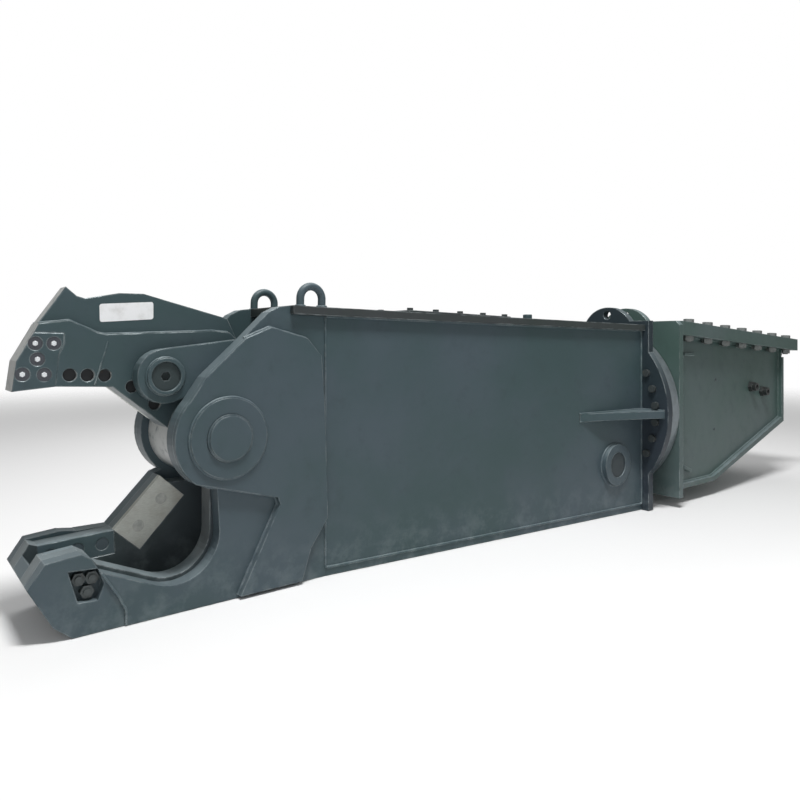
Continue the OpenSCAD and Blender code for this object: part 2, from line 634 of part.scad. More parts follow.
module jaw_side() plate(-jaw_half, -jaw_web_half) difference() {
    polygon(by(side_shares, jaw_reach, jaw_reach));
    circle(r = jaw_hub_r, $fn = 144);
    polygon(horn_outline);
}
module near_jaw_side() color(paint) on_pivot() difference() {
    jaw_side();
    jaw_cuts();
}
module far_jaw_side() color(paint) on_pivot() difference() {
    mirror([0, 1, 0]) jaw_side();
    plate(0, far_end) polygon(blade(jaw_front_start, jaw_knee, jaw_blade_w, over));
    plate(0, far_end) polygon(blade(jaw_knee, jaw_rear_end, jaw_blade_w, over));
}
module tip_plates() color(paint) on_pivot() both_sides() difference() {
    plate(-jaw_half, -jaw_web_half) polygon(by(tip_shares, jaw_reach, jaw_reach));
    for (p = tip_holes) {
        bar(p, tip_bolt_r + fit_gap, -far_end, 0);
        bar(p, tip_head_r + fit_gap, -far_end, tip_head_h - jaw_half);
    }
}
module tip_bolts() color(bright_steel) on_pivot() for (p = tip_holes) union() {
    bar(p, tip_bolt_r, bolt_sink - jaw_half, jaw_half - bolt_sink);
    both_sides() bar(p, tip_head_r, bolt_sink - jaw_half, tip_head_h - jaw_half);
}
module jaw_blade(outline, holes) difference() {
    plate(jaw_web_half, jaw_half) polygon(outline);
    for (p = holes) bar(p, blade_bolt_r + fit_gap, -far_end, far_end);
}
module jaw_front_blade() color(steel) on_pivot() jaw_blade(jaw_front, jaw_front_holes);
module jaw_rear_blade() color(steel) on_pivot() jaw_blade(jaw_rear, jaw_rear_holes);
module jaw_blade_bolts() color(dark_paint) on_pivot() for (p = jaw_holes) union() {
    bar(p, blade_bolt_r, blade_head_h - jaw_half, jaw_half - bolt_sink);
    bar(p, blade_head_r, blade_head_h - jaw_half, 2 * blade_head_h - jaw_half);
}
module horn_plates() color(paint) on_pivot() both_sides() plate(-horn_outer, -horn_inner) difference() {
    polygon(horn_outline);
    circle(r = jaw_hub_r, $fn = 144);
    translate(horn) circle(r = rod_pin_r, $fn = 72);
}
module jaw_bush() color(bronze) on_pivot() difference() {
    bar([0, 0], pivot_r + bush_t, jaw_side_gap - side_gap, side_gap - jaw_side_gap);
    bar([0, 0], pivot_r + run_gap, -far_end, far_end);
}
rod_pin_over = 2;
module rod_pin() color(bright_steel) on_pivot()
    bar(horn, rod_pin_r, -horn_outer - rod_pin_over, horn_outer + rod_pin_over);

// Hydraulic cylinder, drawn along its own axis from the rear pin
rod_play = 27;
rod_eye_wall = 26;
rod_eye_half = 39;
rod_neck_r = 74;
rod_neck_len = 110;
rod_flat_len = 215;
cyl_eye_r = 105;
base_start = 100;
base_end = 190;
gland_len = 50;
rod_in = 470;
piston_len = 90;
reach = norm(horn - cyl_pin);
tube_len = reach - rod_out;
piston_start = tube_len - rod_in;
lean = atan2(horn[1] - cyl_pin[1], cyl_pin[0] - horn[0]);
module on_cylinder() translate([cyl_pin[0], 0, cyl_pin[1]]) rotate([0, 180 + lean, 0]) children();
module cylinder_tube() color(dark_paint) on_pivot() on_cylinder() difference() {
    union() {
        bar([0, 0], cyl_eye_r, -eye_half, eye_half);
        translate([0, -eye_half, -cyl_eye_r]) cube([base_start + over, 2 * eye_half, 2 * cyl_eye_r]);
        long_bar(base_start, 0, 0, tube_r, tube_len - base_start);
    }
    bar([0, 0], cyl_pin_r + run_gap, -far_end, far_end);
    long_bar(base_end, 0, 0, tube_r - tube_t, far_end);
}
module cylinder_gland() color(steel) on_pivot() on_cylinder() difference() {
    long_bar(tube_len, 0, 0, tube_r, gland_len);
    long_bar(tube_len - over, 0, 0, rod_r + run_gap, gland_len + 2 * over);
}
module piston_rod() color(bright_steel) on_pivot() on_cylinder() difference() {
    union() {
        long_bar(piston_start, 0, 0, tube_r - tube_t - run_gap, piston_len);
        long_bar(piston_start, 0, 0, rod_r, reach - rod_pin_r - piston_start);
        long_bar(reach - rod_neck_len - rod_pin_r, 0, 0, rod_neck_r, rod_neck_len);
        bar([reach, 0], rod_pin_r + rod_play + rod_eye_wall, -rod_eye_half, rod_eye_half);
    }
    bar([reach, 0], rod_pin_r + rod_play, -far_end, far_end);
    both_sides() translate([reach - rod_flat_len, rod_eye_half, -far_end / 2]) cube(far_end);
}

// Head: front plate, sides, belly, top flange and the bolted adapter plate
head_plate_t = 35;
head_corner = 20;
head_hole_r = 110;
head_side_t = 30;
head_side_end = 130;
belly_in = 54;
belly_level = belly_in - head_fall;
belly_t = 25;
belly_bend = 395;
belly_rear = -160;
belly_over = 25;
rear_window_half = 250;
rear_window_shares = [-0.2, 0.42];
head_back_x = head_end - head_side_end;
side_x = head_x + head_plate_t;
head_slope = atan(head_drop / (head_end - side_x));
under_at = head_rise - head_flange_t - adapter_t - run_gap;
function head_under(x) = under_at - (x - side_x) * tan(head_slope);
module head_front_plate() color(paint) on_pivot() along_x(head_x, head_plate_t) {
    difference() {
        polygon([
            [-head_half, -head_fall], [head_half, -head_fall], [head_half, head_rise - head_corner],
            [head_half - head_corner, head_rise], [head_corner - head_half, head_rise],
            [-head_half, head_rise - head_corner],
        ]);
        translate([0, slew_z]) circle(r = head_hole_r, $fn = 96);
    }
    lug_outline(flange_top);
}
module head_sides() color(paint) on_pivot() both_sides() plate(-head_side_half, head_side_t - head_side_half) polygon([
    [side_x, belly_level], [side_x + belly_bend, belly_level], [head_back_x, belly_rear],
    [head_back_x, head_under(head_back_x)], [side_x, under_at],
]);
module head_belly() color(paint) on_pivot() difference() {
    plate(-head_side_half - belly_over, head_side_half + belly_over) polygon([
        [side_x, belly_level], [side_x, belly_level - belly_t], [side_x + belly_bend, belly_level - belly_t],
        [head_back_x + belly_t, belly_rear - belly_t],
        [head_back_x + belly_t, head_under(head_back_x + belly_t)],
        [head_back_x, head_under(head_back_x)], [head_back_x, belly_rear], [side_x + belly_bend, belly_level],
    ]);
    translate([side_x + belly_bend + over, -rear_window_half, rear_window_shares[0] * head_rise])
        cube([far_end, 2 * rear_window_half, (rear_window_shares[1] - rear_window_shares[0]) * head_rise]);
    on_head() at_adapter_bolts() translate([0, 0, -adapter_t - head_flange_t - 2 * adapter_nut_h])
        cylinder(h = 2 * adapter_nut_h, r = adapter_head_r + over, $fn = 48);
}
adapter_bolt_r = 15;
adapter_head_r = 26;
adapter_head_h = 19;
adapter_nut_h = 24;
adapter_edge = 34;
adapter_first = 115;
adapter_bolt_count = 7;
module on_head() translate([side_x, 0, head_rise]) rotate([0, head_slope, 0]) children();
module at_adapter_bolts() for (i = [0:adapter_bolt_count - 1], side = [-1, 1])
    translate([adapter_first + i * adapter_pitch, side * (head_half - adapter_edge), 0]) children();
module head_layer(top, t) difference() {
    plate(-head_half, head_half) polygon([
        [side_x, head_rise - top], [head_end, head_rise - top - head_drop],
        [head_end, head_rise - top - t - head_drop], [side_x, head_rise - top - t],
    ]);
    on_head() at_adapter_bolts() translate([0, 0, -2 * (head_flange_t + adapter_t)])
        cylinder(h = far_end, r = adapter_bolt_r + fit_gap, $fn = 48);
}
module head_top_plates() color(paint) on_pivot() {
    head_layer(0, adapter_t);
    head_layer(adapter_t, head_flange_t);
}
module adapter_bolts() color(steel) on_pivot() on_head() at_adapter_bolts() union() {
    cylinder(h = adapter_head_h, r = adapter_head_r, $fn = 6);
    translate([0, 0, -adapter_t - head_flange_t - adapter_nut_h])
        cylinder(h = adapter_nut_h, r = adapter_head_r, $fn = 6);
    translate([0, 0, -adapter_t - head_flange_t - adapter_nut_h - over])
        cylinder(h = adapter_t + head_flange_t + adapter_nut_h + 2 * over, r = adapter_bolt_r, $fn = 48);
}
port_shares = [[0.645, 0.108], [0.747, 0.026]];
port_hex_r = 32;
port_hex_h = 18;
port_neck_r = 24;
port_neck_h = 22;
port_bore_r = 12.5;
port_bore_d = 25;
module port_fittings() color(steel) on_pivot() for (p = by(port_shares, head_len, head_rise)) difference() {
    union() {
        hex_bar(p + [head_x, 0], port_hex_r, -head_side_half - port_hex_h, -head_side_half);
        bar(p + [head_x, 0], port_neck_r, -head_side_half - port_hex_h - port_neck_h, -head_side_half - over);
    }
    bar(p + [head_x, 0], port_bore_r, -far_end, port_bore_d - head_side_half - port_hex_h - port_neck_h);
}

near_side_plate();
far_side_plate();
near_hub_plate();
far_hub_plate();
hub_rings();
near_web();
far_web();
top_plate();
bottom_plate();
throat_bulkhead();
end_flange();
flange_gussets();
lifting_eyes();
access_cover();
access_cover_bolts();
near_nose_plate();
far_nose_plate();
near_jaw_cheek();
far_jaw_cheek();
nose_block();
lower_front_blade();
lower_rear_blade();
guide_blade();
lower_blade_bolts();
pocket_nuts();
pivot_pin();
pivot_caps();
near_guide_arm();
far_guide_arm();
guide_pucks();
cylinder_bosses();
cylinder_pin();
slew_outer_ring();
slew_ring_bolts();
slew_motor();
swivel_barrel();
upper_jaw();
near_jaw_side();
far_jaw_side();
tip_plates();
tip_bolts();
jaw_front_blade();
jaw_rear_blade();
jaw_blade_bolts();
horn_plates();
jaw_bush();
rod_pin();
cylinder_tube();
cylinder_gland();
piston_rod();
slew_inner_ring();
slew_balls();
swivel_spool();
head_front_plate();
head_sides();
head_belly();
head_top_plates();
adapter_bolts();
port_fittings();
slew_pinion();
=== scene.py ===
import math

import bmesh
import bpy
from mathutils import Matrix, Vector


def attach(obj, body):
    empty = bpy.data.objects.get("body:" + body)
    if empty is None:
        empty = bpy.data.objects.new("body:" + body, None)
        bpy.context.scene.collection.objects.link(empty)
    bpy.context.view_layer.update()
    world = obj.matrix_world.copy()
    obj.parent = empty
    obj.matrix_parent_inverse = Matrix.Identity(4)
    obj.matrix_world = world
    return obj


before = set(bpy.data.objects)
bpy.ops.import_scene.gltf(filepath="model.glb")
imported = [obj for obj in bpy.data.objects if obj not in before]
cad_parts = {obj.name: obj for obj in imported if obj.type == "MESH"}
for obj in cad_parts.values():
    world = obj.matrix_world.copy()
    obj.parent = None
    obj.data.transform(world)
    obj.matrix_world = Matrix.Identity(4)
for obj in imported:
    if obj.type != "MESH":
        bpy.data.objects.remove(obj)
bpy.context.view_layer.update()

# The body is a box of flame-cut steel plates, welded and then sprayed with satin grey-green paint.
# The thick side plates carry the jaw, the raised hub plates lie on them, and thinner webs run to the rear.
# Every painted plate gets the same paint, with its own tone, dust and wear. Faces turned up are lightened toward
# a dust colour, which is partly real dust and partly painted light from above.
BODY_TONE = (0.046, 0.066, 0.077)
DARK_TONE = (0.030, 0.039, 0.043)
DECK_TONE_WITH_SHADE = (0.035, 0.039, 0.041)
BARE_EDGE = (0.40, 0.45, 0.46)
RUBBED_AND_LIT_STEEL = (0.40, 0.41, 0.40)
DUST_AND_TOP_LIGHT = (0.30, 0.36, 0.38)
CLOUDS, WAVES, MOTTLE, SPECKLE = 1.7, 5.0, 14.0, 420.0
SPRAYED_EDGE = 0.006


class Link:
    """A socket of a material. Sums on it add Math nodes, and node() adds any other node."""

    def __init__(self, tree, socket=None):
        self.tree, self.socket = tree, socket

    def node(self, kind, settings=None, sockets=None, out=0):
        made = self.tree.nodes.new(kind)
        for name, value in (settings or {}).items():
            setattr(made, name, value)
        for name, value in (sockets or {}).items():
            if isinstance(value, Link):
                self.tree.links.new(value.socket, made.inputs[name])
            elif isinstance(value, tuple) and len(made.inputs[name].default_value) == 4:
                made.inputs[name].default_value = (*value, 1)
            else:
                made.inputs[name].default_value = value
        return Link(self.tree, made.outputs[out])

    def sum(self, operation, a, b):
        return self.node("ShaderNodeMath", {"operation": operation}, {0: a, 1: b})

    def __add__(self, other):
        return self.sum("ADD", self, other)

    def __radd__(self, other):
        return self.sum("ADD", other, self)

    def __sub__(self, other):
        return self.sum("SUBTRACT", self, other)

    def __rsub__(self, other):
        return self.sum("SUBTRACT", other, self)

    def __mul__(self, other):
        return self.sum("MULTIPLY", self, other)

    def __rmul__(self, other):
        return self.sum("MULTIPLY", other, self)

    def between(self, low, high):
        return self.node("ShaderNodeMapRange", {"interpolation_type": "SMOOTHSTEP"},
                         {"Value": self, "From Min": low, "From Max": high})

    def tint(self, under, over):
        return self.node("ShaderNodeMix", {"data_type": "RGBA"}, {0: self, 6: under, 7: over}, out=2)

    def axis(self, index):
        return self.node("ShaderNodeSeparateXYZ", {}, {"Vector": self}, out=index)

    def noise(self, scale, detail=3.0, rough=0.55):
        return self.node("ShaderNodeTexNoise", {}, {"Vector": self, "Scale": scale, "Detail": detail,
                                                    "Roughness": rough})


def new_finish(name):
    finish = bpy.data.materials.new(name)
    finish.use_nodes = True
    tree = finish.node_tree
    place = Link(tree).node("ShaderNodeTexCoord", out=3)
    facing = Link(tree).node("ShaderNodeTexCoord", out=1)
    return finish, tree.nodes["Principled BSDF"], place, facing


def worn_edge(place, radius):
    rounded = place.node("ShaderNodeBevel", {"samples": 4}, {"Radius": radius})
    flat = place.node("ShaderNodeNewGeometry", out=1)
    even = place.node("ShaderNodeVectorMath", {"operation": "DOT_PRODUCT"}, {0: rounded, 1: flat}, out=1)
    return rounded, (1 - even).between(0.004, 0.09)


def connect(shader, **sockets):
    for name, value in sockets.items():
        shader.id_data.links.new(value.socket, shader.inputs[name.replace("_", " ")])


def shade(tone, share):
    return tuple(share * part for part in tone)


def paint(name, tone, dust_and_top_light=0.55, wear=0.5, gloss=0.40, scuff_and_light=0.0):
    finish, shader, place, facing = new_finish(name)
    rounded, edge = worn_edge(place, SPRAYED_EDGE)
    cloud = place.noise(CLOUDS, 5.0, 0.6)
    mottle = place.noise(MOTTLE, 6.0, 0.65)
    speckle = place.noise(SPECKLE, 2.0)
    # Faces turned up get lighter: partly dust, partly a painted highlight of the light from above.
    dust_and_top_light_mask = facing.axis(2).between(0.20, 0.80) * (0.25 + 0.45 * mottle) * dust_and_top_light
    muddy = place.axis(2).between(0.26, 0.0) * mottle.between(0.42, 0.72) * (0.35 * dust_and_top_light)
    chipped = edge * mottle.between(0.38, 0.62) * wear
    greener = (tone[0] * 0.90, tone[1] * 1.06, tone[2] * 0.96)
    lighter = (tone[0] * 1.25, tone[1] * 1.22, tone[2] * 1.24)
    colour = cloud.between(0.32, 0.68).tint(greener, lighter)
    colour = (mottle.between(0.50, 0.85) * 0.35).tint(colour, shade(tone, 0.55))
    colour = (dust_and_top_light_mask + muddy).tint(colour, DUST_AND_TOP_LIGHT)
    colour = chipped.tint(colour, BARE_EDGE)
    # Faces turned to -X are tinted toward rubbed steel: partly wear, partly a painted highlight where the light
    # falls.
    if scuff_and_light:
        rubbed = facing.axis(0).between(-0.55, -0.85) * place.noise(30.0, 5.0, 0.7).between(0.20, 0.50)
        colour = (rubbed * scuff_and_light).tint(colour, RUBBED_AND_LIT_STEEL)
    waviness = place.noise(WAVES, 1.0)
    relief = speckle * 0.25 + mottle * 0.5 + waviness * 3.0
    bump = relief.node("ShaderNodeBump", {}, {"Strength": 0.35, "Distance": 0.0012, "Height": relief,
                                              "Normal": rounded})
    connect(shader, Base_Color=colour, Normal=bump,
            Roughness=gloss + (mottle - 0.5) * 0.22 + dust_and_top_light_mask * 0.35 - chipped * 0.08,
            Metallic=chipped * 0.55)
    shader.inputs["Specular IOR Level"].default_value = 0.28
    return finish


def dress(finish, *nodes):
    for node in nodes:
        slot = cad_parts[node].material_slots[0]
        slot.link = "OBJECT"
        slot.material = finish


body_paint = paint("body_paint", BODY_TONE)
# The top plate and its cover take a darker tone, painted shade for the shadow under the deck's overhanging edge,
# and strong top dust that is partly a painted highlight on its lip.
deck_paint_with_shade = paint("deck_paint_with_shade", DECK_TONE_WITH_SHADE, dust_and_top_light=0.8, wear=0.9)
inner_paint = paint("inner_paint", DARK_TONE, dust_and_top_light=0.4, wear=0.35, gloss=0.5)
dress(body_paint, "near_side_plate", "far_side_plate", "near_hub_plate", "far_hub_plate", "near_web", "far_web",
      "bottom_plate")
dress(deck_paint_with_shade, "top_plate")
dress(inner_paint, "throat_bulkhead")

# Weld beads join the body's plates. Each is a fillet laid by hand, so its ripples rise and fall along the run.
# Places are in millimetres from the main pivot's axis, with x to the rear and z up.
PIVOT = Vector((-1.555, 0.0, 0.530))
RIPPLE = 0.007
SIDES = ((-1, "near"), (1, "far"))
SIDE, SIDE_BACK, SIDE_TOP, GROUND_EDGE = 180.0, 375.0, 396.0, -500.0
WEB_END, WEB_END_HALF, FLARE = 2123.0, 341.0, 160.0 / 1750.0
DECK_TOP, DECK_BEND, DECK_FALL, DECK_SEAM = 434.0, 235.0, 40.0 / 1890.0, 31.0
FINE_BEAD, THIN_BEAD = 0.0045, 0.004


def at(x, y, z):
    return PIVOT + Vector((x, y, z)) / 1000.0


def half_at(x):
    return SIDE + max(x - SIDE_BACK, 0.0) * FLARE


def top_at(x):
    return DECK_TOP - max(x - DECK_BEND, 0.0) * DECK_FALL


def round_path(u, v, r, steps=64):
    turns = [2 * math.pi * i / steps for i in range(steps + 1)]
    return [(u + r * math.cos(turn), v + r * math.sin(turn)) for turn in turns]


def bead(name, body, finish, runs, r=0.0055):
    curve = bpy.data.curves.new(name, "CURVE")
    curve.dimensions = "3D"
    curve.bevel_depth, curve.bevel_resolution, curve.use_fill_caps = r, 1, True
    for run in runs:
        places = []
        for a, b in zip(run, run[1:]):
            steps = max(1, round((b - a).length / RIPPLE))
            places += [a.lerp(b, i / steps) for i in range(steps)]
        places.append(run[-1])
        spline = curve.splines.new("POLY")
        spline.points.add(len(places) - 1)
        for i, (point, place) in enumerate(zip(spline.points, places)):
            point.co = (*place, 1)
            point.radius = 1.0 + 0.16 * (i % 2) + 0.08 * math.sin(i * 0.7)
    made = bpy.data.objects.new(name, curve)
    bpy.context.scene.collection.objects.link(made)
    made.data.materials.append(finish)
    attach(made, body)


# The beads are a lighter copy of the body paint, a painted highlight along their rims.
bead_paint_with_highlight = paint("bead_paint_with_highlight", shade(BODY_TONE, 1.12), dust_and_top_light=0.5, wear=0.75, gloss=0.38)
hub_edge = [(-68, -148), (175, -217), (183, -241), (40, -519)]
hub_back = [(268, -519), (303, -412), (372, -315), (358, 100), (346, 258), (289, 321), (150, 357), (60, 320)]
nose_edge = [(-381, -359), (-333, -438), (-311, -483), (-311, -528)]
for side, word in SIDES:
    hub_runs = [[at(x, side * (SIDE + 1), z) for x, z in edge] for edge in (hub_edge, hub_back)]
    back_run = [at(SIDE_BACK, side * (SIDE + 0.5), z) for z in (GROUND_EDGE, SIDE_TOP)]
    deck_run = [at(x, side * (half_at(x) + 1), top_at(x) - DECK_SEAM) for x in (SIDE_BACK + 3, WEB_END - 1)]
    floor_run = [at(x, side * half_at(x), GROUND_EDGE) for x in (SIDE_BACK + 3, WEB_END - 1)]
    flange_run = [at(WEB_END, side * WEB_END_HALF, z) for z in (GROUND_EDGE + 2, 362)]
    nose_run = [at(x, side * (SIDE - 0.5), z) for x, z in nose_edge]
    bead(word + "_hub_bead", "main", bead_paint_with_highlight, hub_runs)
    bead(word + "_side_seam", "main", bead_paint_with_highlight, [back_run], r=FINE_BEAD)
    bead(word + "_web_beads", "main", bead_paint_with_highlight, [deck_run, floor_run, flange_run])
    bead(word + "_nose_seam", "main", bead_paint_with_highlight, [nose_run], r=THIN_BEAD)

# The lifting eyes are bent from round bar and welded to the top plate above each side plate.
# The bolted cover on top gives access to the cylinder's hoses, and its bolts are painted over.
EYE_X, EYE_R, EYE_ROD = 316.0, 43.5, 14.0
dress(body_paint, "lifting_eyes")
dress(deck_paint_with_shade, "access_cover")


def plated(name, tone=(0.20, 0.205, 0.20), rough=0.42, metal=0.85):
    finish, shader, place, facing = new_finish(name)
    rounded, edge = worn_edge(place, 0.0015)
    stain = place.noise(38.0, 5.0, 0.65)
    fine = place.noise(600.0, 2.0)
    rust = stain.between(0.58, 0.80) * 0.6
    colour = rust.tint(tone, (0.10, 0.055, 0.03))
    colour = (edge * 0.6).tint(colour, shade(tone, 1.8))
    relief = fine * 0.4 + stain
    bump = relief.node("ShaderNodeBump", {}, {"Strength": 0.3, "Distance": 0.0006, "Height": relief,
                                              "Normal": rounded})
    connect(shader, Base_Color=colour, Normal=bump, Roughness=rough + (stain - 0.5) * 0.3 + rust * 0.3,
            Metallic=metal - rust * 0.8)
    return finish


painted_bolt = plated("painted_bolt", (0.055, 0.065, 0.066), 0.45, 0.35)
dress(painted_bolt, "access_cover_bolts")
legs = [(side, EYE_X + leg * EYE_R) for side in (-1, 1) for leg in (-1, 1)]
collars = [[at(x, side * SIDE + y, top_at(EYE_X) + 1) for x, y in round_path(leg_x, 0, EYE_ROD + 1, 24)]
           for side, leg_x in legs]
bead("eye_collars", "main", bead_paint_with_highlight, collars, r=FINE_BEAD)

# The main pin is ground steel in a bronze bush, held by painted caps inside raised rings on the hub plates.
# A fillet runs round each ring, and the caps are only pressed in, so theirs is a clean joint.
HUB_RING_R, HUB_FACE = 130.0, 205.0
dress(body_paint, "hub_rings", "pivot_caps")


def ground(name, tone=(0.50, 0.50, 0.48), rough=0.30, streak=(1.0, 40.0, 1.0), metal=0.95):
    finish, shader, place, facing = new_finish(name)
    rounded, edge = worn_edge(place, 0.002)
    lay = place.node("ShaderNodeMapping", {}, {"Vector": place, "Scale": Vector(streak)})
    brushed = lay.noise(26.0, 5.0, 0.7)
    stain = place.noise(9.0, 5.0, 0.6)
    colour = brushed.between(0.25, 0.80).tint(shade(tone, 0.72), tone)
    colour = (stain.between(0.50, 0.80) * 0.45).tint(colour, (tone[0] * 0.42, tone[1] * 0.36, tone[2] * 0.30))
    colour = (edge * 0.5).tint(colour, tuple(min(1.0, 1.3 * t) for t in tone))
    relief = brushed + stain * 0.5
    bump = relief.node("ShaderNodeBump", {}, {"Strength": 0.25, "Distance": 0.0006, "Height": relief,
                                              "Normal": rounded})
    connect(shader, Base_Color=colour, Normal=bump, Roughness=rough + (brushed - 0.5) * 0.25 + stain * 0.12)
    shader.inputs["Metallic"].default_value = metal
    return finish


pin_steel = ground("pin_steel")
bush_bronze = ground("bush_bronze", (0.42, 0.27, 0.12), 0.38)
dress(pin_steel, "pivot_pin")
dress(bush_bronze, "jaw_bush")
for side, word in SIDES:
    ring_run = [at(x, side * HUB_FACE, z) for x, z in round_path(0, 0, HUB_RING_R)]
    bead(word + "_hub_ring_bead", "main", bead_paint_with_highlight, [ring_run])

# The lower jaw is a fork: nose plates outside, thick cheeks beside the slot, and a block across the front.
# Its blades are bolted bars of hardened steel. The rear one is ground bare, and the others are painted over.
BLADE_CORNER = -1.840
dress(body_paint, "near_nose_plate", "far_nose_plate", "nose_block")
# The cheeks' faces turned forward and up are lightened, partly by dust and wear, partly as painted highlight.
cheek_paint = paint("cheek_paint", shade(DARK_TONE, 1.2), dust_and_top_light=0.9, wear=0.9, gloss=0.46, scuff_and_light=0.15)
dress(cheek_paint, "near_jaw_cheek", "far_jaw_cheek")
blade_steel = ground("blade_steel", (0.66, 0.68, 0.63), 0.50, (3.0, 3.0, 30.0), 0.45)
dress(blade_steel, "lower_rear_blade")
blade_paint = paint("blade_paint", shade(BODY_TONE, 1.25), dust_and_top_light=0.9, wear=0.8)
dress(blade_paint, "lower_front_blade", "guide_blade")
dress(painted_bolt, "pocket_nuts")


def blade_bolt_finish():
    finish, shader, place, facing = new_finish("blade_bolt_finish")
    rubbed = place.axis(0).between(BLADE_CORNER - 0.010, BLADE_CORNER + 0.010)
    stain = place.noise(60.0, 5.0, 0.65)
    steel = stain.between(0.3, 0.7).tint((0.34, 0.35, 0.33), (0.52, 0.53, 0.50))
    colour = rubbed.tint((0.056, 0.080, 0.092), steel)
    bump = stain.node("ShaderNodeBump", {}, {"Strength": 0.3, "Distance": 0.0006, "Height": stain})
    connect(shader, Base_Color=colour, Normal=bump, Roughness=0.5 + (stain - 0.5) * 0.3, Metallic=rubbed * 0.4)
    return finish


dress(blade_bolt_finish(), "lower_blade_bolts")

# The upper jaw is a thick forged beak. Thicker side plates end in a ledge, and bolted tip plates cover its point.
# Scrap wears the paint off its front edge, where bare steel shows in a light band. The band covers every face
# turned forward, so it is partly a painted highlight.
jaw_paint = paint("jaw_paint", shade(BODY_TONE, 0.97), dust_and_top_light=0.5, wear=0.8, scuff_and_light=1.0)
dress(jaw_paint, "upper_jaw", "near_jaw_side", "far_jaw_side", "tip_plates", "horn_plates")
dress(plated("tip_bolt_steel", (0.075, 0.080, 0.092), 0.42, 0.5), "tip_bolts")
dress(plated("deep_bolt_steel", (0.016, 0.018, 0.020), 0.5, 0.3), "jaw_blade_bolts")
dress(blade_steel, "jaw_front_blade", "jaw_rear_blade")
dress(pin_steel, "rod_pin")
JAW_WEB_FACE, JAW_FACE = 36.0, 58.0
seam = [(-330, 309), (-369, 177)]
ledge = [(67, 340), (13, 345), (-335, 331), (-359, 336), (-438, 372), (-520, 362)]
for side, word in SIDES:
    ledge_run = [at(x, side * (JAW_WEB_FACE + 1.5), z + 1) for x, z in ledge]
    seam_run = [at(x, side * (JAW_FACE - 0.5), z) for x, z in seam]
    bead(word + "_ledge_bead", "jaw", bead_paint_with_highlight, [ledge_run], r=THIN_BEAD)
    bead(word + "_jaw_seam", "jaw", bead_paint_with_highlight, [seam_run], r=0.003)

# Each bolt in the beak's tip gets a bright tapered hexagon in its socket, a painted glint that stands in for
# light caught by the bolt head.
# They are one mesh, because they are all alike.
TIP_BOLTS = [(-529.8, 303.3), (-480.9, 303.3), (-523.9, 257.2), (-562.9, 214.2), (-506.2, 211.8)]
GLINT_R, GLINT_PROUD = 0.0085, 0.0015


def piece(name, cut, finish):
    """Makes a named object of a finished bmesh, in one material."""
    bmesh.ops.recalc_face_normals(cut, faces=list(cut.faces))
    shape = bpy.data.meshes.new(name)
    cut.to_mesh(shape)
    cut.free()
    made = bpy.data.objects.new(name, shape)
    bpy.context.scene.collection.objects.link(made)
    shape.materials.append(finish)
    return made


def studs(name, body, finish, places, r, proud, segments=6):
    """Tapered studs whose axes lie along Y, standing proud of the face at each place."""
    cut = bmesh.new()
    for place, side in places:
        turn = Matrix.Rotation(math.radians(-90 * side), 4, "X")
        bmesh.ops.create_cone(cut, cap_ends=True, segments=segments, radius1=r, radius2=0.8 * r, depth=2 * proud,
                              matrix=Matrix.Translation(place) @ turn)
    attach(piece(name, cut, finish), body)


tip_places = [(at(x, side * JAW_FACE, z), side) for side in (-1, 1) for x, z in TIP_BOLTS]
studs("tip_bolt_glints", "jaw", plated("glint_steel", (0.75, 0.78, 0.80), 0.32, 0.3), tip_places, GLINT_R, GLINT_PROUD)

# A plain white sticker sits on the beak above the ledge. It is vinyl with rounded corners and road grime.
# Nothing is printed on it.
LABEL = [(-350, 425), (-186, 437), (-186, 381), (-349, 369)]
LABEL_BACK, LABEL_CORNER, VINYL = 36.2, 0.007, 0.0006


def sticker():
    finish, shader, place, facing = new_finish("sticker_vinyl")
    grime = place.noise(22.0, 5.0, 0.65)
    smear = place.noise(4.0, 3.0)
    colour = (grime.between(0.45, 0.80) * 0.5).tint((0.74, 0.75, 0.76), (0.42, 0.42, 0.40))
    relief = smear + grime * 0.3
    bump = relief.node("ShaderNodeBump", {}, {"Strength": 0.2, "Distance": 0.0005, "Height": relief})
    connect(shader, Base_Color=colour, Normal=bump, Roughness=0.42 + (grime - 0.5) * 0.3)
    return finish


def raise_face(cut, height):
    """Lifts the bmesh's face along Y, so that it becomes a slab."""
    lifted = bmesh.ops.extrude_face_region(cut, geom=list(cut.faces))
    bmesh.ops.translate(cut, vec=(0, height, 0),
                        verts=[part for part in lifted["geom"] if isinstance(part, bmesh.types.BMVert)])


cut = bmesh.new()
cut.faces.new([cut.verts.new(at(x, -LABEL_BACK, z)) for x, z in LABEL])
bmesh.ops.bevel(cut, geom=list(cut.verts), offset=LABEL_CORNER, offset_type="OFFSET", segments=4, profile=0.5,
                affect="VERTICES", material=-1)
raise_face(cut, -VINYL)
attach(piece("blank_label", cut, sticker()), "jaw")

# Two cast guide arms hold round pucks against the jaw's flanks, in rings that are welded to the arms.
# The arms are painted with the body, and the pucks' outer ends are painted dark.
GUIDE_X, GUIDE_Z, GUIDE_BEAD_R, ARM_FACE = -178.0, 200.0, 59.0, 129.0
dress(body_paint, "near_guide_arm", "far_guide_arm")
dress(inner_paint, "guide_pucks")
for side, word in SIDES:
    guide_run = [at(x, side * ARM_FACE, z) for x, z in round_path(GUIDE_X, GUIDE_Z, GUIDE_BEAD_R, 40)]
    bead(word + "_guide_bead", "main", bead_paint_with_highlight, [guide_run], r=THIN_BEAD)

